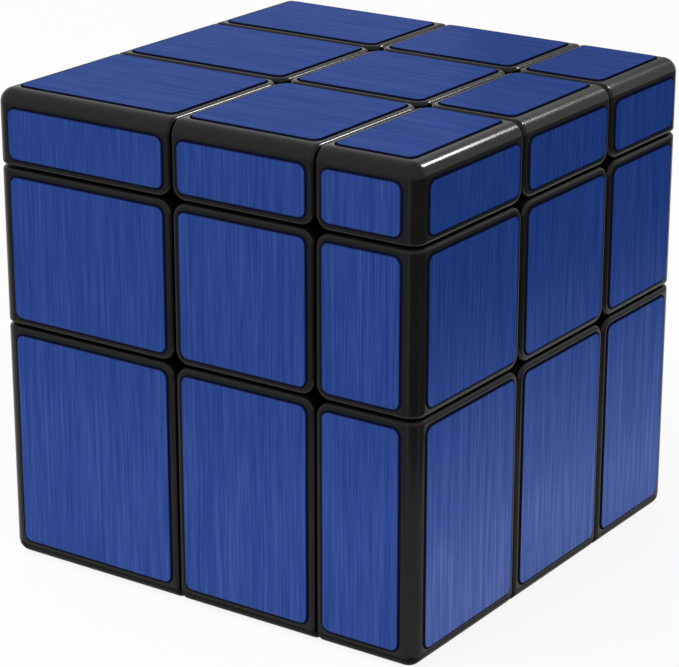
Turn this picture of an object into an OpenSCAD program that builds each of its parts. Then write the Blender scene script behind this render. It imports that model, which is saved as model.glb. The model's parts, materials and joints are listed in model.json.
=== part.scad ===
// Twisty puzzle cube of 3 x 3 x 3 pieces whose outer layers all differ in thickness.
// Lengths are millimetres. +Z is up and the front face looks along -Y.
// The origin lies under the middle of the puzzle, on the surface that it stands on.
//
// A piece is named by its slot: -1, 0 or 1 along X, Y and Z. One number that is not 0
// makes a centre, two make an edge and three a corner. Every surface on which layers
// slide is turned about the axis of a face, so each face can turn without end.

/* [Layers] */
// Thickness of the middle layer in each direction
middle_layer = 19; // [18:0.5:22]
// Thickness of the right layer
right_layer = 13; // [10:0.5:30]
// Thickness of the left layer
left_layer = 25; // [10:0.5:30]
// Thickness of the front layer
front_layer = 21; // [10:0.5:30]
// Thickness of the back layer
back_layer = 17; // [10:0.5:30]
// Thickness of the top layer
top_layer = 9; // [8.5:0.5:30]
// Thickness of the bottom layer
bottom_layer = 29; // [10:0.5:32]

/* [Shells] */
// Running gap between neighbouring pieces
seam_gap = 0.2; // [0.1:0.05:0.4]
// Wall of the hollow shells
wall = 1.2; // [0.8:0.1:1.6]
// Rounding along the outer edges of the whole puzzle
outer_r = 1.75; // [1:0.25:2.5]
// Rounding of a face's rim along a seam
rim_r = 0.5; // [0.2:0.1:0.8]
// Rounding of a piece in the plane of its face, where two seams cross
crossing_r = 1.8; // [1:0.1:2]

/* [Stickers] */
// Thickness of the foil stickers
sticker_t = 0.15; // [0.05:0.05:0.3]
// Bare margin between a sticker and the seam edge of its piece
seam_margin = 0.9; // [0.6:0.1:1.5]
// Bare margin between a sticker and an outer edge of the puzzle
outer_margin = 2; // [2:0.25:3]
// Corner radius of the stickers
sticker_r = 1; // [0.5:0.25:1.5]

/* [Feet] */
// Depth by which the feet reach behind their neighbours
hook = 3; // [2:0.25:3.5]
// Thickness of a centre cap's lip over the feet, where the layer is thinnest
lip = 1.8; // [1.2:0.1:2.2]
// Thickness of a centre cap's face, where the layer is thinnest
cap_t = 1.6; // [1:0.1:2]
// Play between two parts of a centre that are pushed together
push_fit = 0.05; // [0.02:0.01:0.1]

/* [Core and tension screws] */
// Radius of the core's six arms
arm_r = 3.2; // [2.6:0.1:3.6]
// Length by which an arm enters the centre that turns on it
arm_entry = 2; // [1.5:0.25:2.5]
// Play between an arm and its centre
arm_play = 0.2; // [0.1:0.05:0.3]
// Radius of the screws' shanks
screw_r = 1.25; // [1:0.05:1.5]
// Length of a screw's thread inside the core
screw_grip = 5.5; // [4:0.5:6]
// Radius of the screw heads
head_r = 2.3; // [2.1:0.1:2.6]
// Height of the screw heads
head_h = 1.6; // [1.2:0.1:2]
// Radius of the washers
washer_r = 2.8; // [2.6:0.1:3.2]
// Thickness of the washers
washer_t = 0.5; // [0.3:0.1:0.8]
// Radius of the springs' wire
wire_r = 0.25; // [0.2:0.05:0.3]
// Mean radius of the springs' coils
coil_r = 2.1; // [1.9:0.1:2.4]
// Turns in each spring
coil_turns = 4; // [3:1:5]

/* [Hidden] */
$fn = 64;

CENTRES = [
    ["right_centre", [1, 0, 0]], ["left_centre", [-1, 0, 0]],
    ["back_centre", [0, 1, 0]], ["front_centre", [0, -1, 0]],
    ["top_centre", [0, 0, 1]], ["bottom_centre", [0, 0, -1]],
];
EDGES = [
    ["front_right_edge", [1, -1, 0]], ["front_left_edge", [-1, -1, 0]],
    ["back_right_edge", [1, 1, 0]], ["back_left_edge", [-1, 1, 0]],
    ["top_right_edge", [1, 0, 1]], ["top_left_edge", [-1, 0, 1]],
    ["bottom_right_edge", [1, 0, -1]], ["bottom_left_edge", [-1, 0, -1]],
    ["top_front_edge", [0, -1, 1]], ["top_back_edge", [0, 1, 1]],
    ["bottom_front_edge", [0, -1, -1]], ["bottom_back_edge", [0, 1, -1]],
];
CORNERS = [
    ["top_front_right_corner", [1, -1, 1]], ["top_front_left_corner", [-1, -1, 1]],
    ["top_back_right_corner", [1, 1, 1]], ["top_back_left_corner", [-1, 1, 1]],
    ["bottom_front_right_corner", [1, -1, -1]], ["bottom_front_left_corner", [-1, -1, -1]],
    ["bottom_back_right_corner", [1, 1, -1]], ["bottom_back_left_corner", [-1, 1, -1]],
];

BLACK = "#1d1d1f";
BLUE = "#3a559f";
GREY = "#8d9096";
STEEL = "#b9bcc0";

// Where the layers are cut, measured from the middle of the core
LAYERS = [[left_layer, right_layer], [front_layer, back_layer], [bottom_layer, top_layer]];
cut = middle_layer / 2;
thinnest = min([for (pair = LAYERS) min(pair)]);
half_gap = seam_gap / 2;
foot_cut = cut - hook;
foot_r = cut + thinnest - lip - half_gap;
core_at = [(reach(0, -1) - reach(0, 1)) / 2, (reach(1, -1) - reach(1, 1)) / 2,
           reach(2, -1) + sticker_t];

// Heights along the axis of a centre, from the middle of the core
stem_start = foot_cut + half_gap;
arm_end = stem_start + arm_entry;
floor_start = arm_end + arm_play;
floor_end = floor_start + wall;
cap_floor = cut + thinnest - cap_t;
stem_end = cap_floor - push_fit;
headroom = 0.5;
head_start = stem_end - headroom - head_h;
washer_start = head_start - washer_t;
stem_half = foot_cut - half_gap;
skirt_h = 2;
skirt_t = 0.9;
contact_gap = 0.03;
thread_play = 0.02;
past = 1;

// Distance from the core to a face: axis 0, 1 or 2, and side -1 or 1
function reach(axis, side) = cut + LAYERS[axis][side > 0 ? 1 : 0];
function low(slot) = [for (a = [0:2])
    slot[a] < 0 ? -reach(a, -1) : slot[a] > 0 ? cut + half_gap : half_gap - cut];
function high(slot) = [for (a = [0:2])
    slot[a] > 0 ? reach(a, 1) : slot[a] < 0 ? -cut - half_gap : cut - half_gap];
function is_outer(slot, axis, side) = slot[axis] == side;
// Rounding of the edge between two sides of a piece
function edge_r(slot, a, side_a, b, side_b) =
    is_outer(slot, a, side_a) && is_outer(slot, b, side_b) ? outer_r
    : is_outer(slot, a, side_a) || is_outer(slot, b, side_b) ? rim_r
    : crossing_r;
function margin(slot, axis, side) =
    is_outer(slot, axis, side) ? max(outer_margin, outer_r) : seam_margin;
function middle_axis(slot) = slot[0] == 0 ? 0 : slot[1] == 0 ? 1 : 2;
function face_axis(slot) = slot[0] != 0 ? 0 : slot[1] != 0 ? 1 : 2;

// Turns children that are drawn along +Z to lie along an axis. Local X and Y become
// the next two axes in the order X, Y, Z, X.
module along(axis) rotate([[90, 0, 90], [0, -90, -90], [0, 0, 0]][axis]) children();

// Turns children that are drawn for the edge slot [0, 1, 1] to another middle axis
module with_middle(axis) rotate([[0, 0, 0], [90, 0, 90], [0, -90, -90]][axis]) children();

// Mirrors children that are drawn on the positive sides to the sides of a slot
module on_sides(slot)
    mirror([slot[0] < 0 ? 1 : 0, 0, 0]) mirror([0, slot[1] < 0 ? 1 : 0, 0])
    mirror([0, 0, slot[2] < 0 ? 1 : 0]) children();

// Turns children that are drawn along +Z to point towards a centre's face
module facing(slot)
    rotate(slot[0] != 0 ? [0, 90 * slot[0], 0]
        : slot[1] != 0 ? [-90 * slot[1], 0, 0]
        : [slot[2] > 0 ? 0 : 180, 0, 0]) children();

// Rectangle with a radius for each corner, in the order --, +-, ++, -+
module rounded_rectangle(from, to, radii) {
    x = [from[0], to[0], to[0], from[0]];
    y = [from[1], from[1], to[1], to[1]];
    inward_x = [1, -1, -1, 1];
    inward_y = [1, 1, -1, -1];
    difference() {
        translate(from) square(to - from);
        for (i = [0:3]) if (radii[i] > 0) {
            r = radii[i];
            translate([x[i], y[i]]) difference() {
                translate([inward_x[i] > 0 ? -past : -r, inward_y[i] > 0 ? -past : -r])
                    square(r + past);
                translate([inward_x[i] * r, inward_y[i] * r]) circle(r);
            }
        }
    }
}

// Bar along an axis that has a piece's outline seen from that axis
module outline_bar(slot, axis) {
    a = (axis + 1) % 3;
    b = (axis + 2) % 3;
    from = low(slot);
    to = high(slot);
    along(axis) translate([0, 0, from[axis]]) linear_extrude(to[axis] - from[axis])
        rounded_rectangle([from[a], from[b]], [to[a], to[b]],
            [edge_r(slot, a, -1, b, -1), edge_r(slot, a, 1, b, -1),
             edge_r(slot, a, 1, b, 1), edge_r(slot, a, -1, b, 1)]);
}

// What lies outside a round corner whose rim is rounded too. The corner's axis is the Z axis,
// the piece fills the first quadrant below the XY plane, and the rim is at that plane.
module past_rim(r) translate([0, 0, -2 * rim_r]) difference() {
    cube([r + past, r + past, 2 * rim_r + past]);
    rotate_extrude() rounded_rectangle([0, 0], [r, 2 * rim_r], [0, 0, rim_r, 0]);
}

// What the rims leave free at the corners whose axes run along one axis: where two seams
// cross on a face, and where an outer edge meets a seam
module past_rims(slot, axis) {
    a = (axis + 1) % 3;
    b = (axis + 2) % 3;
    from = low(slot);
    to = high(slot);
    for (side_a = [-1, 1], side_b = [-1, 1], end = [-1, 1]) {
        outer = is_outer(slot, a, side_a);
        r = edge_r(slot, a, side_a, b, side_b);
        if (outer == is_outer(slot, b, side_b) && outer != is_outer(slot, axis, end))
            along(axis) translate([
                side_a > 0 ? to[a] - r : from[a] + r,
                side_b > 0 ? to[b] - r : from[b] + r,
                end > 0 ? to[axis] : from[axis],
            ]) mirror([side_a < 0 ? 1 : 0, 0, 0]) mirror([0, side_b < 0 ? 1 : 0, 0])
                mirror([0, 0, end < 0 ? 1 : 0]) past_rim(r);
    }
}

// Outer form of a piece, without its foot
module block(slot) difference() {
    intersection() {
        outline_bar(slot, 0);
        outline_bar(slot, 1);
        outline_bar(slot, 2);
    }
    for (axis = [0:2]) past_rims(slot, axis);
}

module hollow(slot) {
    from = low(slot);
    to = high(slot);
    translate([for (c = from) c + wall])
        cube([for (a = [0:2]) to[a] - from[a] - 2 * wall]);
}

// Round groove about an axis in which the feet of the layers on both sides run
module foot_groove(axis, r, start) for (side = [-1, 1])
    along(axis) translate([0, 0, side > 0 ? start : -start - cut]) cylinder(r = r, h = cut);

module corner_foot() {
    r = foot_r - half_gap;
    intersection() {
        translate([1, 1, 1] * stem_start) cube(r);
        along(0) cylinder(r = r, h = r + past);
        along(1) cylinder(r = r, h = r + past);
        along(2) cylinder(r = r, h = r + past);
    }
}

// Foot of the edge in slot [0, 1, 1]: a bar of L section under the two centres
module edge_foot() {
    r = foot_r - half_gap;
    inner = stem_start;
    root = cut + half_gap + wall / 2;
    intersection() {
        along(0) translate([0, 0, -stem_half]) linear_extrude(2 * stem_half)
            polygon([[inner, inner], [r, inner], [r, root], [root, root], [root, r], [inner, r]]);
        along(1) cylinder(r = r, h = r + past);
        along(2) cylinder(r = r, h = r + past);
    }
}

module core() color(GREY) translate(core_at) difference() {
    union() {
        sphere(r = stem_half - half_gap);
        for (axis = [0:2]) along(axis) cylinder(r = arm_r, h = 2 * arm_end, center = true);
    }
    for (c = CENTRES) facing(c[1])
        translate([0, 0, arm_end - screw_grip - past])
            cylinder(r = screw_r + thread_play, h = screw_grip + 2 * past);
}

// Points of one ring of a spring's wire, on a helix whose ends lie flat
function coil_ring(turn, start, pitch, sides) =
    let (angle = 360 * turn, middle = [coil_r * cos(angle), coil_r * sin(angle), start + pitch * turn])
    [for (i = [0:sides - 1])
        let (t = 360 * i / sides)
        middle + wire_r * [cos(t) * cos(angle), cos(t) * sin(angle), sin(t)]];

module spring(start, end) {
    sides = 6;
    steps = 12 * coil_turns;
    pitch = (end - start - 2 * wire_r) / coil_turns;
    rings = [for (s = [0:steps]) coil_ring(s / 12, start + wire_r, pitch, sides)];
    polyhedron(
        points = [for (ring = rings) each ring],
        faces = concat(
            [[for (i = [sides - 1:-1:0]) i]],
            [for (s = [0:steps - 1], i = [0:sides - 1])
                let (j = (i + 1) % sides, a = s * sides, b = a + sides) [a + i, a + j, b + j, b + i]],
            [[for (i = [0:sides - 1]) steps * sides + i]]
        ));
}

module screw() {
    slot_w = 0.6;
    slot_l = 2.6;
    slot_h = 0.9;
    difference() {
        union() {
            translate([0, 0, arm_end - screw_grip])
                cylinder(r = screw_r, h = head_start + screw_grip - arm_end + head_h / 2);
            translate([0, 0, head_start]) cylinder(r = head_r, h = head_h);
        }
        for (turn = [0, 90]) rotate(turn)
            translate([-slot_l / 2, -slot_w / 2, head_start + head_h - slot_h])
                cube([slot_l, slot_w, slot_h + past]);
    }
}

module washer() translate([0, 0, washer_start]) difference() {
    cylinder(r = washer_r, h = washer_t - contact_gap);
    translate([0, 0, -past]) cylinder(r = screw_r + arm_play, h = washer_t + 2 * past);
}

module tension_hardware() color(STEEL) translate(core_at)
    for (c = CENTRES) facing(c[1]) {
        screw();
        washer();
        spring(floor_end + contact_gap, washer_start - contact_gap);
    }

// Square stem that turns on an arm of the core and holds the spring
module centre_base(slot) color(BLACK) translate(core_at) facing(slot) difference() {
    translate([-stem_half, -stem_half, stem_start])
        cube([2 * stem_half, 2 * stem_half, stem_end - stem_start]);
    translate([wall - stem_half, wall - stem_half, floor_end])
        cube([2 * (stem_half - wall), 2 * (stem_half - wall), stem_end - floor_end + past]);
    cylinder(r = arm_r + arm_play, h = floor_start);
    cylinder(r = screw_r + arm_play, h = floor_end + past);
}

// Skirt by which a cap holds in its stem
module cap_skirt() {
    outer = stem_half - wall - push_fit;
    inner = outer - skirt_t;
    difference() {
        translate([-outer, -outer, cap_floor - skirt_h]) cube([2 * outer, 2 * outer, skirt_h + cap_t / 2]);
        translate([-inner, -inner, cap_floor - skirt_h - past]) cube([2 * inner, 2 * inner, skirt_h + past]);
    }
}

module centre_cap(slot) color(BLACK) translate(core_at) {
    axis = face_axis(slot);
    depth = abs(slot[axis] > 0 ? high(slot)[axis] : low(slot)[axis]);
    side = 2 * (cut - half_gap - wall);
    room = depth - cap_floor - 2 * wall;
    difference() {
        block(slot);
        facing(slot) {
            translate([-stem_half - push_fit, -stem_half - push_fit, 0])
                cube([2 * (stem_half + push_fit), 2 * (stem_half + push_fit), cap_floor]);
            foot_groove(0, foot_r + half_gap, stem_half);
            foot_groove(1, foot_r + half_gap, stem_half);
            if (room > 1) translate([-side / 2, -side / 2, cap_floor + wall]) cube([side, side, room]);
        }
    }
    facing(slot) cap_skirt();
}

module edge(slot) color(BLACK) translate(core_at) {
    axis = middle_axis(slot);
    difference() {
        union() {
            block(slot);
            on_sides(slot) with_middle(axis) edge_foot();
        }
        foot_groove(axis, foot_r + half_gap, stem_half);
        difference() {
            hollow(slot);
            foot_groove(axis, foot_r + half_gap + wall, stem_half - wall);
        }
    }
}

// What lies outside the ball on which the three outer edges of a corner piece meet
module outermost_point(slot) on_sides(slot)
    translate([for (a = [0:2]) reach(a, slot[a]) - outer_r]) difference() {
        cube(outer_r + past);
        sphere(r = outer_r);
    }

module corner(slot) color(BLACK) translate(core_at) difference() {
    union() {
        block(slot);
        on_sides(slot) corner_foot();
    }
    hollow(slot);
    outermost_point(slot);
}

// Foil on one outer face of a piece
module sticker(slot, axis) {
    a = (axis + 1) % 3;
    b = (axis + 2) % 3;
    from = low(slot);
    to = high(slot);
    start = slot[axis] > 0 ? to[axis] : from[axis] - sticker_t;
    along(axis) translate([0, 0, start]) linear_extrude(sticker_t)
        rounded_rectangle([from[a] + margin(slot, a, -1), from[b] + margin(slot, b, -1)],
            [to[a] - margin(slot, a, 1), to[b] - margin(slot, b, 1)],
            [for (i = [0:3]) sticker_r]);
}

module stickers(slot) color(BLUE) translate(core_at)
    for (axis = [0:2]) if (slot[axis] != 0) sticker(slot, axis);

core();
tension_hardware();
for (c = CENTRES) {
    centre_base(c[1]);
    centre_cap(c[1]);
    stickers(c[1]);
}
for (e = EDGES) {
    edge(e[1]);
    stickers(e[1]);
}
for (c = CORNERS) {
    corner(c[1]);
    stickers(c[1]);
}
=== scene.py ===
# %% [markdown]
# # A twisty puzzle cube with unequal layers
# The puzzle has three layers each way, but the six outer layers all differ in thickness, so
# it is solved by shape and every piece wears the same blue foil. The plastic pieces come in
# as they were built. This lesson gives them their moulded finish, makes the foil stickers and
# the tension screws inside, and sets up a soft studio round them.

# %% Load the built model
import json
import math

import bpy
from mathutils import Matrix, Vector

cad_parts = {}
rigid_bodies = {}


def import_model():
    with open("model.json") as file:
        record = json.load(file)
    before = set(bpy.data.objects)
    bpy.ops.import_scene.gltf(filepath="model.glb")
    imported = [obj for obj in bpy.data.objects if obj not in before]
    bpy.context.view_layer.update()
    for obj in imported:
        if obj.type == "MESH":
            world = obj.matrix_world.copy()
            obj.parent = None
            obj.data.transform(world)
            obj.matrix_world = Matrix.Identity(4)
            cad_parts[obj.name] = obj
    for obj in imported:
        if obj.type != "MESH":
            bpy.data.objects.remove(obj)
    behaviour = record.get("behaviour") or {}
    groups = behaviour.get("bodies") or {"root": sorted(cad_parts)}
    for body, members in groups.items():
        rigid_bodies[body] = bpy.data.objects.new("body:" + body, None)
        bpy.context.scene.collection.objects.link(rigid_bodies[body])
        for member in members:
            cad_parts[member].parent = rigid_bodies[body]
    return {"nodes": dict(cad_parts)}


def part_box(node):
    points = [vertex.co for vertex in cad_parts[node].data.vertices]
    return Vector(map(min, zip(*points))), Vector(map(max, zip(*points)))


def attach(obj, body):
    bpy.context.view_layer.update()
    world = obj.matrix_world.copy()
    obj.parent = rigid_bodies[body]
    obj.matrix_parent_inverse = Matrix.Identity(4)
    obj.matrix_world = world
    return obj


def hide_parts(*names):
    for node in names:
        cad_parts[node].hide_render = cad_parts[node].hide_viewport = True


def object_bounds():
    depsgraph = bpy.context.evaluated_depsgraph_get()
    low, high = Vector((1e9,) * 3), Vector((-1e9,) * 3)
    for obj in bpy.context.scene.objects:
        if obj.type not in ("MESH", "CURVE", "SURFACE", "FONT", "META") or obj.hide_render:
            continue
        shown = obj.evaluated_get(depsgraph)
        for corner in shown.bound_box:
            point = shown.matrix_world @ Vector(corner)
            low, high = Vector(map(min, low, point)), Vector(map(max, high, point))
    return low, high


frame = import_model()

MM = 0.001
MM_PER_METRE = 1000
scene = bpy.context.scene
cad_box = [list(corner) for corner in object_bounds()]

# %% [markdown]
# ## Slots
# Each piece is known by its slot: -1, 0 or 1 along X, Y and Z. One number that is not 0 makes
# a centre, two make an edge and three a corner. A name is put together from the sides that the
# piece touches, top or bottom first, so one short function can find every piece.

# %% Find a piece's name from its slot
SIDES = [("left", "right"), ("front", "back"), ("bottom", "top")]
KINDS = {1: "centre", 2: "edge", 3: "corner"}
PLACES = (-1, 0, 1)
SLOTS = [(x, y, z) for x in PLACES for y in PLACES for z in PLACES if (x, y, z) != (0, 0, 0)]


def outer_axes(slot):
    return [axis for axis in range(3) if slot[axis] != 0]


def piece_name(slot):
    words = [SIDES[axis][slot[axis] > 0] for axis in reversed(outer_axes(slot))]
    return "_".join(words + [KINDS[len(words)]])


print(f"{len(SLOTS)} pieces round the core, such as {piece_name((1, -1, 1))}")

# %% [markdown]
# ## Layers
# The middle layers are all equally thick, and the outer ones are 9, 13, 17, 21, 25 and 29 mm.
# They are listed here in pairs: left and right, front and back, bottom and top. Everything
# turns about the middle of the core, so positions are counted from there.

# %% Set the layer sizes
MIDDLE_LAYER = 19 * MM
OUTER_LAYERS = [(25 * MM, 13 * MM), (21 * MM, 17 * MM), (29 * MM, 9 * MM)]
CORE_AT = Vector((6, 2, 38.65)) * MM
CUT = MIDDLE_LAYER / 2


def reach(axis, side):
    return CUT + OUTER_LAYERS[axis][side > 0]


reaches = [[round(reach(axis, side) / MM, 2) for side in (-1, 1)] for axis in range(3)]
print("reach of the faces in mm:", reaches)

# %% [markdown]
# ## Camera
# A long lens from well back keeps the cube's edges almost parallel. The camera is placed by
# its three directions, which also stand as the columns of its matrix: right, up and backwards.
# How far it stands from the core is counted along the same three, in millimetres.

# %% Place the camera
LENS = 140.9
AZIMUTH, ELEVATION = math.radians(34.548), math.radians(19.619)
SIDEWAYS, UPWARDS, BACKWARDS = -6.753, -12.145, 310.39
cam_right = Vector((math.cos(AZIMUTH), math.sin(AZIMUTH), 0))
cam_back = Vector((math.sin(AZIMUTH) * math.cos(ELEVATION),
                   -math.cos(AZIMUTH) * math.cos(ELEVATION), math.sin(ELEVATION)))
cam_up = cam_back.cross(cam_right)
cam_at = CORE_AT + (SIDEWAYS * cam_right + UPWARDS * cam_up + BACKWARDS * cam_back) * MM

camera = bpy.data.objects.new("camera", bpy.data.cameras.new("camera"))
scene.collection.objects.link(camera)
camera.data.lens = LENS
camera.data.clip_start = 10 * MM
camera.matrix_world = (Matrix.Translation(cam_at)
                       @ Matrix((cam_right, cam_up, cam_back)).transposed().to_4x4())
scene.camera = camera
print("camera at", [round(c / MM, 1) for c in cam_at], "mm")

# %% [markdown]
# ## Helpers for node trees
# Shaders and geometry are both trees of nodes, and most lines in such a tree do the same two
# things: add a node and join it to earlier ones. A few small helpers do both at once. A node
# group is a tree with named inputs and outputs, and one more helper starts such a tree.

# %% Write the node helpers
def add_node(tree, kind, inputs=None, **settings):
    node = tree.nodes.new(kind)
    for name, value in settings.items():
        setattr(node, name, value)
    for key, value in (inputs or {}).items():
        if isinstance(value, bpy.types.NodeSocket):
            tree.links.new(value, node.inputs[key])
        else:
            node.inputs[key].default_value = value
    return node


def math_node(tree, operation, a, b=0.0):
    return add_node(tree, "ShaderNodeMath", {0: a, 1: b}, operation=operation).outputs[0]


def vector_node(tree, operation, a, b=(0, 0, 0)):
    node = add_node(tree, "ShaderNodeVectorMath", {0: a, 1: b}, operation=operation)
    return node.outputs["Vector"]


def new_group(name, kind, inputs, outputs):
    """A node group, with the sockets that its own tree starts from and ends in."""
    tree = bpy.data.node_groups.new(name, kind)
    for label, socket, default in inputs:
        made = tree.interface.new_socket(label, in_out="INPUT", socket_type=socket)
        if default is not None:
            made.default_value = default
    for label, socket in outputs:
        tree.interface.new_socket(label, in_out="OUTPUT", socket_type=socket)
    start, end = tree.nodes.new("NodeGroupInput"), tree.nodes.new("NodeGroupOutput")
    return tree, start.outputs, end.inputs


print("node helpers ready")

# %% [markdown]
# ## Brushed lines
# The foil is brushed: countless short scratches that all run one way. Drawn one by one they
# would take thousands of curves, so a noise texture that is stretched along them stands in.
# There are two, one for single hair lines and one for wider bands, because real brushing has
# both. The seed moves each sticker to another part of the noise, so that no two look the same.

# %% Build the brushed lines group
SEED_SHIFT = 17.3
BAND_SHIFT = 5.0
BAND_WIDTH, BAND_LENGTH = 4.0, 2.2      # in line widths and line lengths
brushed, brushed_in, brushed_out = new_group("Brushed lines", "ShaderNodeTree", [
    ("Position", "NodeSocketVector", None), ("Seed", "NodeSocketFloat", 0.0),
    ("Line width", "NodeSocketFloat", 0.15), ("Line length", "NodeSocketFloat", 9.0),
], [("Lines", "NodeSocketFloat"), ("Bands", "NodeSocketFloat")])


def stretched_noise(tree, source, width, length, shift):
    place = add_node(tree, "ShaderNodeCombineXYZ", {
        "X": math_node(tree, "DIVIDE", source[0], width),
        "Y": math_node(tree, "DIVIDE", source[1], length),
        "Z": math_node(tree, "ADD", source[2], shift)})
    return add_node(tree, "ShaderNodeTexNoise", {
        "Vector": place.outputs[0], "Scale": 1.0, "Detail": 2.0,
        "Roughness": 0.6}).outputs["Fac"]


split = add_node(brushed, "ShaderNodeSeparateXYZ", {0: brushed_in["Position"]})
seed_step = math_node(brushed, "MULTIPLY", brushed_in["Seed"], SEED_SHIFT)
source = (split.outputs["X"], split.outputs["Y"], seed_step)
band_width = math_node(brushed, "MULTIPLY", brushed_in["Line width"], BAND_WIDTH)
band_length = math_node(brushed, "MULTIPLY", brushed_in["Line length"], BAND_LENGTH)
hair_noise = stretched_noise(
    brushed, source, brushed_in["Line width"], brushed_in["Line length"], 0.0)
band_noise = stretched_noise(brushed, source, band_width, band_length, BAND_SHIFT)
brushed.links.new(hair_noise, brushed_out["Lines"])
brushed.links.new(band_noise, brushed_out["Bands"])
print("group", brushed.name, "with", len(brushed.nodes), "nodes")

# %% [markdown]
# ## Distance from a sticker's edge
# Round its edge the sticker shows a thin dark navy line. The line could be a mesh of its own, but
# a sticker is a rectangle with round corners, so a short formula gives the distance to its edge
# and the shader can draw the line. The half width, half height and corner radius come from the
# sticker itself, so one formula serves stickers of every size.

# %% Build the edge distance group
edge_group, edge_in, edge_out = new_group("Distance from the edge", "ShaderNodeTree", [
    ("Position", "NodeSocketVector", None), ("Half size", "NodeSocketVector", None),
], [("Distance", "NodeSocketFloat")])
half = add_node(edge_group, "ShaderNodeSeparateXYZ", {0: edge_in["Half size"]})
place = add_node(edge_group, "ShaderNodeSeparateXYZ", {
    0: vector_node(edge_group, "ABSOLUTE", edge_in["Position"])})
radius = half.outputs["Z"]
past = [math_node(edge_group, "SUBTRACT", place.outputs[i],
                  math_node(edge_group, "SUBTRACT", half.outputs[i], radius)) for i in (0, 1)]
beyond = [math_node(edge_group, "MAXIMUM", p, 0.0) for p in past]
squares = [math_node(edge_group, "POWER", b, 2.0) for b in beyond]
outside = math_node(edge_group, "SQRT", math_node(edge_group, "ADD", *squares))
inside = math_node(edge_group, "MINIMUM", math_node(edge_group, "MAXIMUM", *past), 0.0)
to_edge = math_node(edge_group, "SUBTRACT", radius,
                    math_node(edge_group, "ADD", outside, inside))
edge_group.links.new(to_edge, edge_out["Distance"])
print("group", edge_group.name, "with", len(edge_group.nodes), "nodes")

# %% [markdown]
# ## Moulded grain
# A moulded plastic is never perfectly even. Its skin has a very fine orange peel, and handling
# leaves patches that are a little more polished. Neither changes the piece's shape, so both are
# noise in the shader. One group gives them to every plastic here and to the steel.

# %% Build the moulded grain group
PEEL_HEIGHT = 0.05 * MM
grain, grain_in, grain_out = new_group("Moulded grain", "ShaderNodeTree", [
    ("Position", "NodeSocketVector", None), ("Grain size", "NodeSocketFloat", 0.25),
    ("Patch size", "NodeSocketFloat", 9.0), ("Depth", "NodeSocketFloat", 0.05),
], [("Patches", "NodeSocketFloat"), ("Normal", "NodeSocketVector")])
peel = add_node(grain, "ShaderNodeTexNoise", {
    "Vector": grain_in["Position"], "Detail": 1.0,
    "Scale": math_node(grain, "DIVIDE", 1.0, grain_in["Grain size"])})
patches = add_node(grain, "ShaderNodeTexNoise", {
    "Vector": grain_in["Position"], "Detail": 3.0,
    "Scale": math_node(grain, "DIVIDE", 1.0, grain_in["Patch size"])})
bump = add_node(grain, "ShaderNodeBump", {
    "Strength": grain_in["Depth"], "Distance": PEEL_HEIGHT, "Height": peel.outputs["Fac"]})
grain.links.new(patches.outputs["Fac"], grain_out["Patches"])
grain.links.new(bump.outputs["Normal"], grain_out["Normal"])
print("group", grain.name, "with", len(grain.nodes), "nodes")

# %% [markdown]
# ## Helpers for materials
# Every material here starts from Blender's all-round surface shader. Its patterns are measured
# in millimetres on the piece itself, so they have the same scale on large and small pieces and
# stay put when the puzzle turns.

# %% Write the material helpers
def in_millimetres(tree):
    here = add_node(tree, "ShaderNodeTexCoord")
    return vector_node(tree, "MULTIPLY", here.outputs["Object"], (MM_PER_METRE,) * 3)


def new_material(name):
    material = bpy.data.materials.new(name)
    material.use_nodes = True
    return material, material.node_tree, material.node_tree.nodes["Principled BSDF"]


MIX_FACTOR, MIX_FIRST, MIX_SECOND, MIX_RESULT = 0, 6, 7, 2      # a colour mix's own sockets


def mix_colour(tree, factor, a, b):
    return add_node(tree, "ShaderNodeMix", {MIX_FACTOR: factor, MIX_FIRST: a, MIX_SECOND: b},
                    data_type="RGBA").outputs[MIX_RESULT]


def ramp_node(tree, value, low, high, start=0.3, end=0.7):
    """Low where the value is at its start, high at its end, and even in between."""
    return add_node(tree, "ShaderNodeMapRange", {
        "Value": value, "From Min": start, "From Max": end,
        "To Min": low, "To Max": high}).outputs["Result"]


print("material helpers ready")

# %% [markdown]
# ## Plastics
# The shells are black plastic with a satin gloss, almost neutral in its colour. The core
# inside is a plain grey plastic with a deeper grain. Both use the same recipe with their own
# values: a patchy colour, a roughness that follows the patches, and the orange peel.

# %% Make the plastics
def moulded_plastic(name, dark, light, roughness, specular, depth):
    material, tree, surface = new_material(name)
    skin = add_node(tree, "ShaderNodeGroup", {}, node_tree=grain)
    tree.links.new(in_millimetres(tree), skin.inputs["Position"])
    skin.inputs["Depth"].default_value = depth
    tint = mix_colour(tree, skin.outputs["Patches"], (*dark, 1), (*light, 1))
    gloss = ramp_node(tree, skin.outputs["Patches"], *roughness)
    tree.links.new(tint, surface.inputs["Base Color"])
    tree.links.new(gloss, surface.inputs["Roughness"])
    tree.links.new(skin.outputs["Normal"], surface.inputs["Normal"])
    surface.inputs["Specular IOR Level"].default_value = specular
    return material


black_plastic = moulded_plastic(
    "black_plastic", dark=(0.003, 0.003, 0.0028), light=(0.0056, 0.0055, 0.0052),
    roughness=(0.15, 0.21), specular=0.19, depth=0.006)
grey_plastic = moulded_plastic(
    "grey_plastic", dark=(0.24, 0.25, 0.27), light=(0.31, 0.32, 0.34),
    roughness=(0.46, 0.58), specular=0.5, depth=0.12)
print("plastics:", black_plastic.name, "and", grey_plastic.name)

# %% [markdown]
# ## Blue foil
# The foil is a blue lacquer over a thin brushed metal layer. Paint alone would look flat, and
# metal alone would only mirror the room, so the shader mixes the two, with a little more paint
# than metal. Its pattern follows the brushing of each sticker, so the material reads three
# marks that every sticker carries: the place on the sticker, its half size and its own number.

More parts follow.
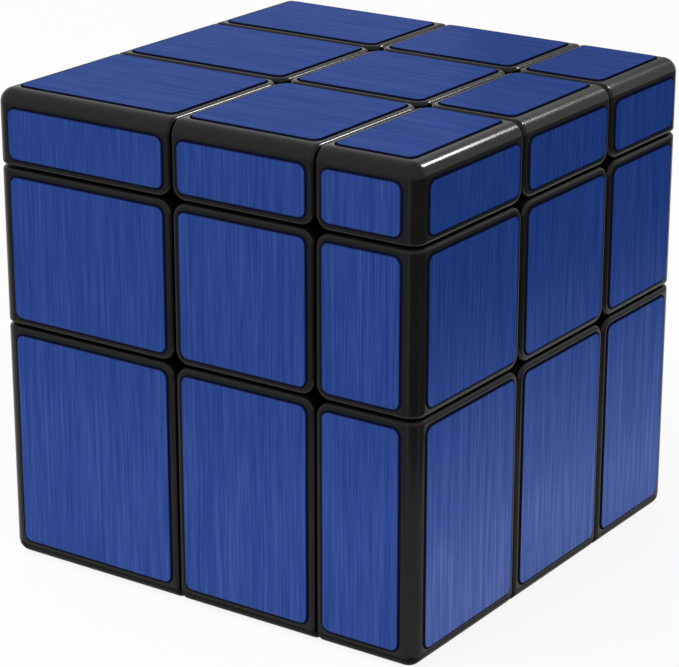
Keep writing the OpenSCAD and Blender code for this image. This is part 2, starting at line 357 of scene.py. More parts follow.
# %% Start the foil from the stickers' marks
blue_foil, tree, surface = new_material("blue_foil")
brush_place = add_node(tree, "ShaderNodeUVMap", uv_map="brush").outputs["UV"]
half_size = add_node(tree, "ShaderNodeAttribute", attribute_name="half_size").outputs["Vector"]
batch = add_node(tree, "ShaderNodeAttribute", attribute_name="batch").outputs["Fac"]
brushing = add_node(tree, "ShaderNodeGroup", {}, node_tree=brushed)
tree.links.new(brush_place, brushing.inputs["Position"])
tree.links.new(batch, brushing.inputs["Seed"])
from_edge = add_node(tree, "ShaderNodeGroup", {}, node_tree=edge_group)
tree.links.new(brush_place, from_edge.inputs["Position"])
tree.links.new(half_size, from_edge.inputs["Half size"])
lines, bands = brushing.outputs["Lines"], brushing.outputs["Bands"]
distance = from_edge.outputs["Distance"]
print("foil started with", len(tree.nodes), "nodes")

# %% [markdown]
# ## The foil's colour
# The brushing makes the lacquer lighter and darker in hair lines, and the bands do the same on
# a wider scale, but more weakly. Near its edge the foil turns almost navy. Past the edge lies
# the sticker's backing sheet, which the same rule paints navy too, so a thin dark outline runs
# round the foil.

# %% Colour the foil
DARK_LINE = (0.0068, 0.0372, 0.21, 1)
PLAIN_FOIL = (0.0095, 0.045, 0.243, 1)
PALE_LINE = (0.018, 0.066, 0.312, 1)
NAVY = (0.004, 0.006, 0.02, 1)
dark_to_plain = ramp_node(tree, lines, 0, 1, start=0.3, end=0.5)
plain_to_pale = ramp_node(tree, lines, 0, 1, start=0.5, end=0.75)
dark_band = ramp_node(tree, bands, 0.25, 0, start=0.3, end=0.48)
pale_band = ramp_node(tree, bands, 0, 0.28, start=0.5, end=0.7)
# Near the sticker's edge the colour turns navy, which draws the thin dark outline round the foil.
navy_outline = ramp_node(tree, distance, 1, 0, start=0.06, end=0.2)
brushed_blue = mix_colour(tree, dark_to_plain, DARK_LINE, PLAIN_FOIL)
brushed_blue = mix_colour(tree, plain_to_pale, brushed_blue, PALE_LINE)
brushed_blue = mix_colour(tree, dark_band, brushed_blue, DARK_LINE)
brushed_blue = mix_colour(tree, pale_band, brushed_blue, PALE_LINE)
tree.links.new(mix_colour(tree, navy_outline, brushed_blue, NAVY), surface.inputs["Base Color"])
print("foil coloured, now", len(tree.nodes), "nodes")

# %% [markdown]
# ## The foil's gloss
# Metal shows through the lacquer everywhere but at the navy outline. Each line is also a little
# rougher or smoother and stands out as a fine scratch. A clear varnish adds a pale sheen. Its
# weight is low and its index high, so the sheen is not seen at flat angles only, and it varies
# with the brushing too.

# %% Give the foil its gloss
METAL_SHARE = 0.45
SCRATCH_DEPTH = 0.01 * MM
inner = ramp_node(tree, distance, 0, 1, start=0.03, end=0.12)
varnish = math_node(tree, "MULTIPLY", ramp_node(tree, lines, 0.04, 0.085),
                    ramp_node(tree, bands, 0.8, 1.2, start=0.4, end=0.62))
tree.links.new(math_node(tree, "MULTIPLY", inner, varnish), surface.inputs["Coat Weight"])
tree.links.new(math_node(tree, "MULTIPLY", inner, METAL_SHARE), surface.inputs["Metallic"])
tree.links.new(ramp_node(tree, lines, 0.24, 0.34), surface.inputs["Roughness"])
scratches = add_node(tree, "ShaderNodeBump", {
    "Strength": 0.25, "Distance": SCRATCH_DEPTH, "Height": lines})
tree.links.new(scratches.outputs["Normal"], surface.inputs["Normal"])
surface.inputs["Specular IOR Level"].default_value = 0
surface.inputs["Specular Tint"].default_value = (0.46, 0.5, 0.68, 1)
surface.inputs["Coat IOR"].default_value = 4
surface.inputs["Coat Roughness"].default_value = 0.24
print("foil:", len(tree.nodes), "nodes")

# %% [markdown]
# ## Steel
# The screws, washers and springs inside are bright steel with small uneven patches. The
# moulded grain group serves here too, with a finer grain and smaller patches.

# %% Make the steel
DULL_STEEL, CLEAN_STEEL = (0.42, 0.43, 0.45, 1), (0.62, 0.62, 0.63, 1)
bright_steel, tree, surface = new_material("bright_steel")
skin = add_node(tree, "ShaderNodeGroup", {}, node_tree=grain)
tree.links.new(in_millimetres(tree), skin.inputs["Position"])
skin.inputs["Grain size"].default_value = 0.08
skin.inputs["Patch size"].default_value = 2.0
tree.links.new(mix_colour(tree, skin.outputs["Patches"], DULL_STEEL, CLEAN_STEEL),
               surface.inputs["Base Color"])
tree.links.new(ramp_node(tree, skin.outputs["Patches"], 0.24, 0.38), surface.inputs["Roughness"])
tree.links.new(skin.outputs["Normal"], surface.inputs["Normal"])
surface.inputs["Metallic"].default_value = 1.0
print("steel:", len(tree.nodes), "nodes")

# %% [markdown]
# ## The built pieces
# The shells, stems, caps and core already have their real rounded shape and smooth normals, so
# they stay as they are. Only their finish changes, by a swap in the material slot.

# %% Dress the built pieces
FINISHES = {"black_shell": black_plastic, "core_plastic": grey_plastic,
            "blue_foil": blue_foil, "spring_steel": bright_steel}
dressed = 0
for node in frame["nodes"].values():
    for finish in node.material_slots:
        finish.material = FINISHES[finish.material.name]
        dressed += 1
print(dressed, "material slots dressed")

# %% [markdown]
# ## One sticker as a tree
# All 54 stickers follow one rule: a rectangle, its corners rounded, filled and given the foil's
# thickness. Under it lies a thin dark backing that stands out a little on each side and draws
# the outline round the foil. Modelled one by one, each could come out a little different, so
# Geometry Nodes keep the rule in one tree, with a named input for each size.

# %% Cut the foil and its backing
WELD = 1e-6
sticker_tree, sticker_in, sticker_out = new_group("Foil sticker", "GeometryNodeTree", [
    ("Geometry", "NodeSocketGeometry", None), ("Width", "NodeSocketFloat", 17 * MM),
    ("Height", "NodeSocketFloat", 17 * MM), ("Corner radius", "NodeSocketFloat", 1 * MM),
    ("Thickness", "NodeSocketFloat", 0.15 * MM), ("Border", "NodeSocketFloat", 0.18 * MM),
    ("Border thickness", "NodeSocketFloat", 0.05 * MM), ("Centre", "NodeSocketVector", None),
    ("Turn", "NodeSocketRotation", None), ("Seed", "NodeSocketFloat", 0.0),
    ("Material", "NodeSocketMaterial", None),
], [("Geometry", "NodeSocketGeometry")])
sticker_tree.is_modifier = True


def joined(tree, parts):
    join = add_node(tree, "GeometryNodeJoinGeometry")
    for part in parts:
        tree.links.new(part, join.inputs[0])
    return join.outputs[0]


def cut_sheet(tree, width, height, radius, thickness):
    outline = add_node(tree, "GeometryNodeCurvePrimitiveQuadrilateral",
                       {"Width": width, "Height": height}, mode="RECTANGLE")
    rounded = add_node(tree, "GeometryNodeFilletCurve",
                       {"Curve": outline.outputs[0], "Radius": radius, "Count": 8}, mode="POLY")
    sheet = add_node(tree, "GeometryNodeFillCurve", {"Curve": rounded.outputs[0]}, mode="NGONS")
    raised = add_node(tree, "GeometryNodeExtrudeMesh", {
        "Mesh": sheet.outputs[0], "Offset Scale": thickness, "Individual": False}, mode="FACES")
    under = add_node(tree, "GeometryNodeFlipFaces", {"Mesh": sheet.outputs[0]})
    both = joined(tree, (under.outputs[0], raised.outputs["Mesh"]))
    return add_node(tree, "GeometryNodeMergeByDistance",
                    {"Geometry": both, "Distance": WELD}).outputs[0]


def widened(size, border):
    return math_node(sticker_tree, "ADD", sticker_in[size], border)


both_borders = math_node(sticker_tree, "MULTIPLY", sticker_in["Border"], 2.0)
foil_sheet = cut_sheet(sticker_tree, sticker_in["Width"], sticker_in["Height"],
                       sticker_in["Corner radius"], sticker_in["Thickness"])
backing = cut_sheet(sticker_tree, widened("Width", both_borders), widened("Height", both_borders),
                    widened("Corner radius", sticker_in["Border"]),
                    sticker_in["Border thickness"])
both_sheets = joined(sticker_tree, (foil_sheet, backing))
print("foil and backing cut, tree has", len(sticker_tree.nodes), "nodes")

# %% [markdown]
# ## The sticker's marks
# The tree also stores what the foil's shader reads. The place on the sticker, across and along
# the brushing in millimetres, goes into a UV map, and the half size and the batch into
# attributes. Last, the sticker is turned and moved to its place and gets its material.

# %% Mark and place the sticker
def store(tree, geometry, name, value, data_type, domain):
    return add_node(tree, "GeometryNodeStoreNamedAttribute",
                    {"Geometry": geometry, "Name": name, "Value": value},
                    data_type=data_type, domain=domain).outputs[0]


def scaled(tree, vector, factor):
    node = add_node(tree, "ShaderNodeVectorMath", {0: vector}, operation="SCALE")
    node.inputs["Scale"].default_value = factor
    return node.outputs["Vector"]


on_sticker = scaled(sticker_tree, add_node(sticker_tree, "GeometryNodeInputPosition").outputs[0],
                    MM_PER_METRE)
whole_size = add_node(sticker_tree, "ShaderNodeCombineXYZ",
                      {"X": sticker_in["Width"], "Y": sticker_in["Height"]}).outputs[0]
round_part = add_node(sticker_tree, "ShaderNodeCombineXYZ",
                      {"Z": sticker_in["Corner radius"]}).outputs[0]
half_and_radius = vector_node(sticker_tree, "ADD",
                              scaled(sticker_tree, whole_size, MM_PER_METRE / 2),
                              scaled(sticker_tree, round_part, MM_PER_METRE))
marked = store(sticker_tree, both_sheets, "brush", on_sticker, "FLOAT2", "CORNER")
marked = store(sticker_tree, marked, "half_size", half_and_radius, "FLOAT_VECTOR", "POINT")
marked = store(sticker_tree, marked, "batch", sticker_in["Seed"], "FLOAT", "POINT")
placed = add_node(sticker_tree, "GeometryNodeTransform", {
    "Geometry": marked, "Translation": sticker_in["Centre"], "Rotation": sticker_in["Turn"]})
coated = add_node(sticker_tree, "GeometryNodeSetMaterial",
                  {"Geometry": placed.outputs[0], "Material": sticker_in["Material"]})
with_earlier = joined(sticker_tree, (sticker_in["Geometry"], coated.outputs[0]))
realized = add_node(sticker_tree, "GeometryNodeRealizeInstances", {"Geometry": with_earlier})
sticker_tree.links.new(realized.outputs[0], sticker_out["Geometry"])
print("sticker tree with", len(sticker_tree.nodes), "nodes")

# %% [markdown]
# ## From tree to mesh
# A modifier's inputs are set by their identifiers. Once they are set, the evaluated object is
# turned into a plain mesh, so that what moves with the puzzle later is a finished piece. The
# object that carried the modifiers, here called a seedling, is removed.

# %% Write the tree helpers
def set_inputs(modifier, values):
    for item in modifier.node_group.interface.items_tree:
        if item.item_type == "SOCKET" and item.in_out == "INPUT" and item.name in values:
            modifier[item.identifier] = values[item.name]


def grown(name, recipe, seed_mesh=None):
    """A finished object from (tree, inputs) pairs, each adding to what the one before made."""
    seedling = bpy.data.objects.new(
        name + "_seedling", seed_mesh or bpy.data.meshes.new(name + "_seedling"))
    scene.collection.objects.link(seedling)
    for tree, values in recipe:
        modifier = seedling.modifiers.new("step", "NODES")
        modifier.node_group = tree
        set_inputs(modifier, values)
    evaluated = seedling.evaluated_get(bpy.context.evaluated_depsgraph_get())
    mesh = bpy.data.meshes.new_from_object(evaluated)
    mesh.name = name
    bpy.data.objects.remove(seedling)
    piece = bpy.data.objects.new(name, mesh)
    scene.collection.objects.link(piece)
    return piece


def mesh_box(mesh):
    corners = [v.co for v in mesh.vertices]
    return [[pick(c[axis] for c in corners) for axis in range(3)] for pick in (min, max)]


print("tree helpers ready")

# %% [markdown]
# ## Where the stickers go
# A sticker leaves 1 mm bare beside a seam's middle and 2 mm along the puzzle's outer edges. On
# the four sides the brushing runs up and down, and on the top and bottom from left to right.

# %% Lay out the stickers
SEAM_EDGE = 0.1 * MM
SEAM_MARGIN = 0.9 * MM
OUTER_MARGIN = 2 * MM
STICKER_RADIUS = 1 * MM
FOIL = 0.15 * MM


def sticker_span(slot, axis):
    side = slot[axis]
    if side == 0:
        return -CUT + SEAM_EDGE + SEAM_MARGIN, CUT - SEAM_EDGE - SEAM_MARGIN
    ends = CUT + SEAM_EDGE + SEAM_MARGIN, reach(axis, side) - OUTER_MARGIN
    return ends if side > 0 else (-ends[1], -ends[0])


def sticker_values(slot, axis, seed):
    normal, along = Vector((0, 0, 0)), Vector((0, 0, 0))
    normal[axis] = slot[axis]
    along[0 if axis == 2 else 2] = 1
    across = along.cross(normal)
    spans = [sticker_span(slot, a) for a in range(3)]
    middle = Vector([(low + high) / 2 for low, high in spans])
    middle[axis] = slot[axis] * reach(axis, slot[axis])
    lengths = Vector([high - low for low, high in spans])
    return {"Width": abs(lengths.dot(across)), "Height": abs(lengths.dot(along)),
            "Corner radius": STICKER_RADIUS, "Thickness": FOIL, "Centre": CORE_AT + middle,
            "Turn": Matrix((across, along, normal)).transposed().to_euler(),
            "Seed": float(seed), "Material": blue_foil}


print("the front centre's sticker:", sticker_values((0, -1, 0), 1, 0)["Width"] / MM, "mm wide")

# %% [markdown]
# ## Cutting the stickers
# The stickers of one piece become one object, because they always travel together. A very small
# bevel rounds the foil's cut edge, so that it catches a thread of light. The backing's border
# makes each sticker a little wider than the built one. All foils are also gathered in a
# collection, which two of the studio's cards need later.

# %% Make the stickers
CUT_BEVEL = 0.03 * MM
BEVEL_FROM = math.radians(60)
foils = bpy.data.collections.new("foils")
made, past_built = 0, 0.0
for index, slot in enumerate(SLOTS):
    name = piece_name(slot)
    node = name + ("_sticker" if name.endswith("centre") else "_stickers")
    recipe = [(sticker_tree, sticker_values(slot, axis, 3 * index + axis))
              for axis in outer_axes(slot)]
    foil = grown(name + "_foil", recipe)
    bevel = foil.modifiers.new("cut edge", "BEVEL")
    bevel.width, bevel.segments, bevel.limit_method = CUT_BEVEL, 2, "ANGLE"
    bevel.angle_limit = BEVEL_FROM
    bevel.harden_normals = True
    past_built = max([past_built] + [
        abs(ours[a] - built[a])
        for ours, built in zip(mesh_box(foil.data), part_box(node)) for a in range(3)])
    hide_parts(node)
    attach(foil, name)
    foils.objects.link(foil)
    made += len(recipe)
print(made, "stickers, at most", round(past_built / MM, 4), "mm past the built ones")

# %% [markdown]
# ## A compression spring
# A spring is a helix with a round wire along it. A Screw modifier could wind one, but six
# springs are wanted, and a tree makes them all: a spiral curve is the path, a circle is the
# wire, and Curve to Mesh sweeps one along the other. The start is counted from the middle of
# the core, along the arm.

# %% Build the spring tree
spring, spring_in, spring_out = new_group("Compression spring", "GeometryNodeTree", [
    ("Turns", "NodeSocketFloat", 4.0), ("Coil radius", "NodeSocketFloat", 2.1 * MM),
    ("Wire radius", "NodeSocketFloat", 0.25 * MM), ("Length", "NodeSocketFloat", 3.7 * MM),
    ("Start", "NodeSocketFloat", 10.3 * MM),
], [("Geometry", "NodeSocketGeometry")])


def swept(tree, path, profile, caps=True):
    return add_node(tree, "GeometryNodeCurveToMesh", {
        "Curve": path.outputs[0], "Profile Curve": profile.outputs[0],
        "Fill Caps": caps}).outputs[0]


def raised_by(tree, geometry, height):
    lift = add_node(tree, "ShaderNodeCombineXYZ", {"Z": height})
    return add_node(tree, "GeometryNodeTransform", {
        "Geometry": geometry, "Translation": lift.outputs[0]}).outputs[0]


helix = add_node(spring, "GeometryNodeCurveSpiral", {
    "Resolution": 28, "Rotations": spring_in["Turns"], "Start Radius": spring_in["Coil radius"],
    "End Radius": spring_in["Coil radius"], "Height": spring_in["Length"]})
wire = add_node(spring, "GeometryNodeCurvePrimitiveCircle",
                {"Resolution": 10, "Radius": spring_in["Wire radius"]})
seated = raised_by(spring, swept(spring, helix, wire), spring_in["Start"])
spring.links.new(seated, spring_out["Geometry"])
print("spring tree with", len(spring.nodes), "nodes")

# %% [markdown]
# ## A tension screw
# The screw runs through the spring into the core. It could be one outline turned round its
# axis, but three rods are easier to size: the threaded end, which is thinner by the thread's
# depth, the plain shank and the head.

# %% Turn the screw's rods
screw, screw_in, screw_out = new_group("Tension screw", "GeometryNodeTree", [
    ("Shank radius", "NodeSocketFloat", 1.25 * MM), ("Tip", "NodeSocketFloat", 3.1 * MM),
    ("Head start", "NodeSocketFloat", 14.75 * MM), ("Head radius", "NodeSocketFloat", 2.3 * MM),
    ("Head height", "NodeSocketFloat", 1.6 * MM), ("Thread length", "NodeSocketFloat", 5.6 * MM),
    ("Thread depth", "NodeSocketFloat", 0.2 * MM), ("Pitch", "NodeSocketFloat", 0.8 * MM),
], [("Geometry", "NodeSocketGeometry")])


def rod(tree, radius, low, high, sides):
    length = math_node(tree, "SUBTRACT", high, low)
    bar = add_node(tree, "GeometryNodeMeshCylinder",
                   {"Vertices": sides, "Radius": radius, "Depth": length})
    middle = math_node(tree, "DIVIDE", math_node(tree, "ADD", low, high), 2.0)
    return raised_by(tree, bar.outputs["Mesh"], middle)


tip, pitch = screw_in["Tip"], screw_in["Pitch"]
root_radius = math_node(screw, "SUBTRACT", screw_in["Shank radius"], screw_in["Thread depth"])
thread_end = math_node(screw, "ADD", tip, screw_in["Thread length"])
head_end = math_node(screw, "ADD", screw_in["Head start"], screw_in["Head height"])
threaded = rod(screw, root_radius, tip, thread_end, 32)
plain = rod(screw, screw_in["Shank radius"], thread_end, screw_in["Head start"], 32)
head = rod(screw, screw_in["Head radius"], screw_in["Head start"], head_end, 40)
print("three rods turned, tree has", len(screw.nodes), "nodes")

# %% [markdown]
# ## The screw's thread and recess
# The thread is a helix too, this time with a three-sided profile, so that it stands out as a
# ridge. It ends half a pitch short of the threaded part at both ends. The head has a cross
# recess, which a Mesh Boolean node cuts from it with two crossed blocks.

# %% Cut the thread and the recess
RECESS_SPAN, RECESS_WIDTH, BLOCK_HEIGHT = 2.6 * MM, 0.6 * MM, 1.8 * MM
ridge_length = math_node(screw, "SUBTRACT", screw_in["Thread length"], pitch)
turns = math_node(screw, "DIVIDE", ridge_length, pitch)
ridge_path = add_node(screw, "GeometryNodeCurveSpiral", {
    "Resolution": 24, "Rotations": turns, "Start Radius": root_radius, "End Radius": root_radius,
    "Height": math_node(screw, "MULTIPLY", turns, pitch)})
ridge_shape = add_node(screw, "GeometryNodeCurvePrimitiveCircle",
                       {"Resolution": 3, "Radius": screw_in["Thread depth"]})
ridge_start = math_node(screw, "ADD", tip, math_node(screw, "DIVIDE", pitch, 2.0))
thread = raised_by(screw, swept(screw, ridge_path, ridge_shape), ridge_start)

blocks = []
for block_size in ((RECESS_SPAN, RECESS_WIDTH, BLOCK_HEIGHT),
                   (RECESS_WIDTH, RECESS_SPAN, BLOCK_HEIGHT)):
    block = add_node(screw, "GeometryNodeMeshCube", {"Size": block_size})
    blocks.append(raised_by(screw, block.outputs["Mesh"], head_end))
cut_head = add_node(screw, "GeometryNodeMeshBoolean",
                    {"Mesh 1": head, "Mesh 2": joined(screw, blocks)}, operation="DIFFERENCE")
whole_screw = joined(screw, (threaded, plain, thread, cut_head.outputs["Mesh"]))
screw.links.new(whole_screw, screw_out["Geometry"])
print("screw tree with", len(screw.nodes), "nodes")

# %% [markdown]
# ## Washers, and six of everything
# A washer is a ring. It could be a disc with a hole cut in it, but a small rectangle swept
# along a circle needs no cut. One more tree puts the screw, the spring and the washer together
# and places them on all six arms of the core. Each arm is a point whose position gives the
# direction that the copy is turned to.

# %% Place the hardware on the arms
hardware, hardware_in, hardware_out = new_group("Tension hardware", "GeometryNodeTree", [
    ("Geometry", "NodeSocketGeometry", None), ("Washer radius", "NodeSocketFloat", 2.8 * MM),
    ("Washer hole", "NodeSocketFloat", 1.45 * MM), ("Washer start", "NodeSocketFloat", 14.25 * MM),
    ("Washer thickness", "NodeSocketFloat", 0.47 * MM), ("Core", "NodeSocketVector", None),
    ("Material", "NodeSocketMaterial", None),
], [("Geometry", "NodeSocketGeometry")])
hardware.is_modifier = True
rim, hole = hardware_in["Washer radius"], hardware_in["Washer hole"]
thickness = hardware_in["Washer thickness"]
ring_radius = math_node(hardware, "DIVIDE", math_node(hardware, "ADD", rim, hole), 2.0)
ring = add_node(hardware, "GeometryNodeCurvePrimitiveCircle",
                {"Resolution": 40, "Radius": ring_radius})
section = add_node(hardware, "GeometryNodeCurvePrimitiveQuadrilateral", {
    "Width": math_node(hardware, "SUBTRACT", rim, hole), "Height": thickness}, mode="RECTANGLE")
washer_at = math_node(hardware, "ADD", hardware_in["Washer start"],
                      math_node(hardware, "DIVIDE", thickness, 2.0))
washer = raised_by(hardware, swept(hardware, ring, section, caps=False), washer_at)
one_arm = joined(hardware, [washer] + [
    add_node(hardware, "GeometryNodeGroup", {}, node_tree=part).outputs[0]
    for part in (screw, spring)])

direction = add_node(hardware, "GeometryNodeInputPosition").outputs[0]
turned = add_node(hardware, "FunctionNodeAlignRotationToVector", {"Vector": direction}, axis="Z")
copies = add_node(hardware, "GeometryNodeInstanceOnPoints", {
    "Points": hardware_in["Geometry"], "Instance": one_arm, "Rotation": turned.outputs[0]})
home = add_node(hardware, "GeometryNodeSetPosition",
                {"Geometry": copies.outputs[0], "Position": hardware_in["Core"]})
solid = add_node(hardware, "GeometryNodeRealizeInstances", {"Geometry": home.outputs[0]})
steel = add_node(hardware, "GeometryNodeSetMaterial",
                 {"Geometry": solid.outputs[0], "Material": hardware_in["Material"]})
hardware.links.new(steel.outputs[0], hardware_out["Geometry"])
print("hardware tree with", len(hardware.nodes), "nodes")

# %% [markdown]
# ## The hardware as one piece
# The six points are the slots of the six centres. The screws, springs and washers all stay with
# the core, so they become one object. Edges sharper than 35 degrees, such as the rim of a
# screw's head, are marked sharp, so that only the round sides are shaded as round.

# %% Grow the hardware
SHARP_FROM = math.radians(35)
arm_points = bpy.data.meshes.new("arm_points")
arm_points.from_pydata([slot for slot in SLOTS if len(outer_axes(slot)) == 1], [], [])
springs_and_screws = grown("springs_and_screws",
                           [(hardware, {"Core": CORE_AT, "Material": bright_steel})], arm_points)
springs_and_screws.data.set_sharp_from_angle(angle=SHARP_FROM)
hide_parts("tension_hardware")
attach(springs_and_screws, "core")
for label, (low, high) in (("made", mesh_box(springs_and_screws.data)),
                           ("built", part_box("tension_hardware"))):
    print(label, [round((high[axis] - low[axis]) / MM, 2) for axis in range(3)], "mm")

# %% [markdown]
# ## The table
# The puzzle stands on a pale table. To the camera, and in anything that mirrors it, the table is
# white, apart from the soft shadow where the puzzle stands. As a surface that catches and gives
# light it is a plain pale grey, so the puzzle gets no more light from it than from paper.

# %% Lay the table
TABLE_REACH = 3
SHADOW_SHARE = 0.12
PAPER = (0.92, 0.92, 0.92, 1)
PLAIN_WHITE = {"Color": (1, 1, 1, 1), "Strength": 1.0}
ONE_FACE = [(0, 1, 2, 3)]


def background_rays(tree):
    path = add_node(tree, "ShaderNodeLightPath")
    mirrored = math_node(tree, "MAXIMUM", path.outputs["Is Glossy Ray"],
                         path.outputs["Is Transmission Ray"])
    return math_node(tree, "MAXIMUM", path.outputs["Is Camera Ray"], mirrored)


table_top = bpy.data.materials.new("table_top")
table_top.use_nodes = True
tree = table_top.node_tree
tree.nodes.clear()
paper = add_node(tree, "ShaderNodeBsdfDiffuse", {"Color": PAPER})
white = add_node(tree, "ShaderNodeEmission", PLAIN_WHITE)
shaded_white = add_node(tree, "ShaderNodeMixShader",
                        {0: SHADOW_SHARE, 1: white.outputs[0], 2: paper.outputs[0]})
table_mix = add_node(tree, "ShaderNodeMixShader", {
    0: background_rays(tree), 1: paper.outputs[0], 2: shaded_white.outputs[0]})
end = add_node(tree, "ShaderNodeOutputMaterial")
tree.links.new(table_mix.outputs[0], end.inputs["Surface"])

table_mesh = bpy.data.meshes.new("table")
table_mesh.from_pydata([(x * TABLE_REACH, y * TABLE_REACH, 0)
                        for x, y in ((-1, -1), (1, -1), (1, 1), (-1, 1))], [], ONE_FACE)
table_mesh.materials.append(table_top)
table = bpy.data.objects.new("table", table_mesh)
scene.collection.objects.link(table)
print("table laid at height 0")

# %% [markdown]
# ## The room
# The room is white where the camera or a mirror finish looks at it, and a soft grey as a light.

# %% Set up the world
world = bpy.data.worlds.new("studio")
scene.world = world
world.use_nodes = True
tree = world.node_tree
tree.nodes.clear()
room = add_node(tree, "ShaderNodeBackground", {"Color": (0.97, 0.98, 1.0, 1), "Strength": 0.5})
white = add_node(tree, "ShaderNodeBackground", PLAIN_WHITE)
world_mix = add_node(tree, "ShaderNodeMixShader", {
    0: background_rays(tree), 1: room.outputs[0], 2: white.outputs[0]})
end = add_node(tree, "ShaderNodeOutputWorld")
tree.links.new(world_mix.outputs[0], end.inputs["Surface"])
print("world set")

# %% [markdown]
# ## Two soft panels
# Wide light comes from a panel above and to the left, and less from one on the right. Neither
# shows in a mirror finish, so the foil and the plastic keep an even shine.

# %% Hang the panels
AIM_AT = Vector((0, 0, 30)) * MM


def hang_panel(name, at, size, watts, tint=(1, 1, 1)):
    lamp = bpy.data.lights.new(name, "AREA")
    lamp.shape, lamp.size, lamp.size_y = "RECTANGLE", size[0], size[1]
    lamp.energy, lamp.color = watts, tint
    panel = bpy.data.objects.new(name, lamp)
    scene.collection.objects.link(panel)
    panel.location = at
    panel.rotation_euler = (AIM_AT - Vector(at)).to_track_quat("-Z", "Y").to_euler()
    return panel


key_panel = hang_panel("key_panel", (-0.36, -0.4, 0.55), (0.9, 0.9), 4.75, (1.0, 0.985, 0.955))
side_panel = hang_panel("side_panel", (0.6, -0.25, 0.3), (0.4, 0.4), 2.0)
for panel in (key_panel, side_panel):
    panel.visible_glossy = False
scene.view_settings.view_transform = "Standard"
print("two soft panels hung")

# %% [markdown]
# ## The strip that draws the white lines
# A small bright strip draws the thin white lines along the rounded edges of the top. It hangs
# where the near end of the top right edge mirrors it into the camera, at a spot on the rounding
# that faces 39 degrees from straight up. It adds no soft light, and by light linking it lights
# the top layer's pieces only, so the seams further down stay dark.

# %% Hang the strip
EDGE_ANGLE = math.radians(39)
STRIP_AWAY = 0.35
STRIP_SIZE = (0.055, 0.06)
STRIP_WATTS = 0.68
NEAR_END = -33 * MM
edge_normal = Vector((math.sin(EDGE_ANGLE), 0, math.cos(EDGE_ANGLE)))
to_strip = 2 * edge_normal.dot(cam_back) * edge_normal - cam_back
strip_long = (Vector((0, 1, 0)) - to_strip.y * to_strip).normalized()
strip_wide = strip_long.cross(to_strip)
near_edge = CORE_AT + Vector((reach(0, 1), NEAR_END, reach(2, 1)))
strip_at = near_edge + STRIP_AWAY * to_strip
strip = hang_panel("edge_strip", strip_at, STRIP_SIZE, STRIP_WATTS)
strip.matrix_world = (Matrix.Translation(strip_at)
                      @ Matrix((strip_wide, strip_long, to_strip)).transposed().to_4x4())
strip.visible_diffuse = False

top_pieces = bpy.data.collections.new("top_pieces")
for thing in scene.objects:
    if thing.type == "MESH" and thing.name.startswith("top_"):
        top_pieces.objects.link(thing)
strip.light_linking.receiver_collection = top_pieces

# %% [markdown]
# ## How a card is made
# A shiny thing in an all-white room looks flat, so cards are stood round it that show in its
# surfaces. These cards are seen in mirror finishes only. They cast no shadow, take no light
# away, and the camera looks straight through them. A card that only some pieces may see is
# linked to those, and adds its tone to what lies behind it.

# %% Write the card helpers
def set_card(name, corners, tone, tint=(1, 1, 1), seen_by=None):
    material = bpy.data.materials.new(name)
    material.use_nodes = True
    tree = material.node_tree
    tree.nodes.clear()
    glow = add_node(tree, "ShaderNodeEmission", {"Color": (*tint, 1), "Strength": tone})
    end = add_node(tree, "ShaderNodeOutputMaterial")
    if seen_by:
        clear = add_node(tree, "ShaderNodeBsdfTransparent")
        glow = add_node(tree, "ShaderNodeAddShader", {0: glow.outputs[0], 1: clear.outputs[0]})
    tree.links.new(glow.outputs[0], end.inputs["Surface"])
    mesh = bpy.data.meshes.new(name)
    mesh.from_pydata(corners, [], ONE_FACE)
    mesh.materials.append(material)
    card = bpy.data.objects.new(name, mesh)
    scene.collection.objects.link(card)
    card.visible_camera = card.visible_diffuse = card.visible_shadow = False
    card.visible_transmission = card.visible_volume_scatter = False
    card.light_linking.receiver_collection = seen_by


def lay_card(name, x, y, height, tone, tint=(1, 1, 1), seen_by=None):
    corners = [(x[0], y[0], height), (x[1], y[0], height),
               (x[1], y[1], height), (x[0], y[1], height)]
    set_card(name, corners, tone, tint, seen_by)


print("card helpers ready")

# %% [markdown]
# ## Cards
# Dark cards lie on the table to the right and keep the right face deep. Grey ones in front take
# the glare off the front face, and two upright boards behind do so for the top. Two narrow warm
# cards along the foot of the right face are seen by the foil alone. They give its lowest row
# the pale glow of a table close by, and the black seams stay dark.

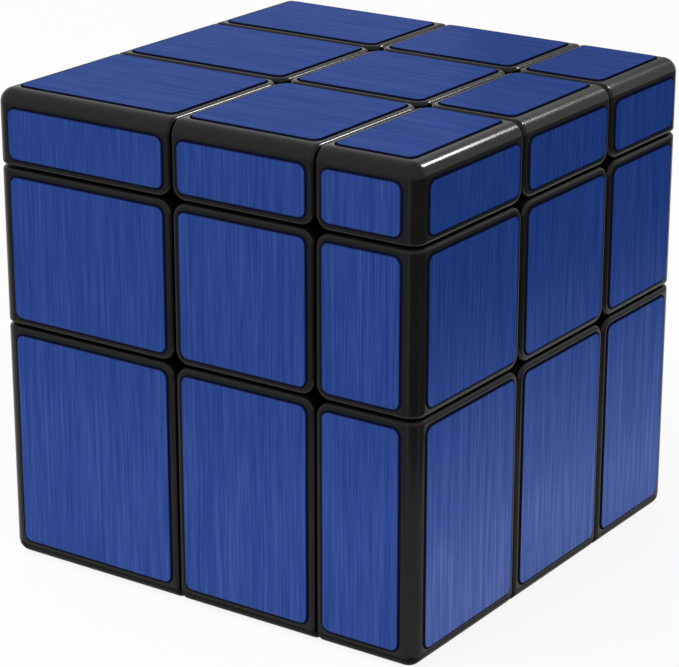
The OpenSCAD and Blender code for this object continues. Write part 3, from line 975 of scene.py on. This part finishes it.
# %% Set the cards
FAR = 0.9
WARM = (1, 0.73, 0.38)
LOW, MIDDLE, HIGH = 0.4 * MM, 0.6 * MM, 0.8 * MM
lay_card("dark_card_right", (0.075, FAR), (-0.02, FAR), LOW, 0.18)
set_card("dark_card_near", [(0.046, -0.091, MIDDLE), (0.267, -0.896, MIDDLE),
                            (0.93, 0, MIDDLE), (0.0935, -0.0265, MIDDLE)], 0.18)
lay_card("grey_card_front", (-FAR, 0.03), (-0.1, -0.07), LOW, 0.67)
lay_card("grey_card_far", (-FAR, 0.03), (-FAR, -0.1), LOW, 0.59)
set_card("dark_board_near", [(-0.036, 0.085, 0.055), (0.03, 0.085, 0.055),
                             (0.03, 0.085, 0.096), (-0.036, 0.085, 0.096)], 0.55)
lay_card("bright_card_near", (0.0298, 0.044), (-0.03, 0.1), HIGH, 1.85, WARM, foils)
lay_card("bright_card_mid", (0.044, 0.058), (-0.01, 0.12), HIGH, 0.75, WARM, foils)
set_card("dark_board_back", [(-FAR, 0.25, -0.01), (0.1, FAR, -0.01),
                             (0.1, FAR, 0.16), (-FAR, 0.25, 0.09)], 0.1)
print("eight cards set")

# %% [markdown]
# ## The foot of the puzzle
# Where the puzzle meets the table hardly any light gets in. The bottom pieces have rounded
# edges, which would mirror the white table there, so a dark strip lies under each edge. The
# strips are cards too, and the camera does not see them.

# %% Darken the table along the foot of the puzzle
FOOT_IN, FOOT_OUT = 1.75 * MM, 1.0 * MM
FOOT_HEIGHT, FOOT_TONE = 0.2 * MM, 0.25
(low_x, low_y, _), (high_x, high_y, _) = cad_box
whole_y = (low_y - FOOT_OUT, high_y + FOOT_OUT)
between_x = (low_x + FOOT_IN, high_x - FOOT_IN)
for name, x, y in (("foot_left", (low_x - FOOT_OUT, low_x + FOOT_IN), whole_y),
                   ("foot_right", (high_x - FOOT_IN, high_x + FOOT_OUT), whole_y),
                   ("foot_front", between_x, (low_y - FOOT_OUT, low_y + FOOT_IN)),
                   ("foot_back", between_x, (high_y - FOOT_IN, high_y + FOOT_OUT))):
    lay_card(name, x, y, FOOT_HEIGHT, FOOT_TONE)
print("four strips laid")
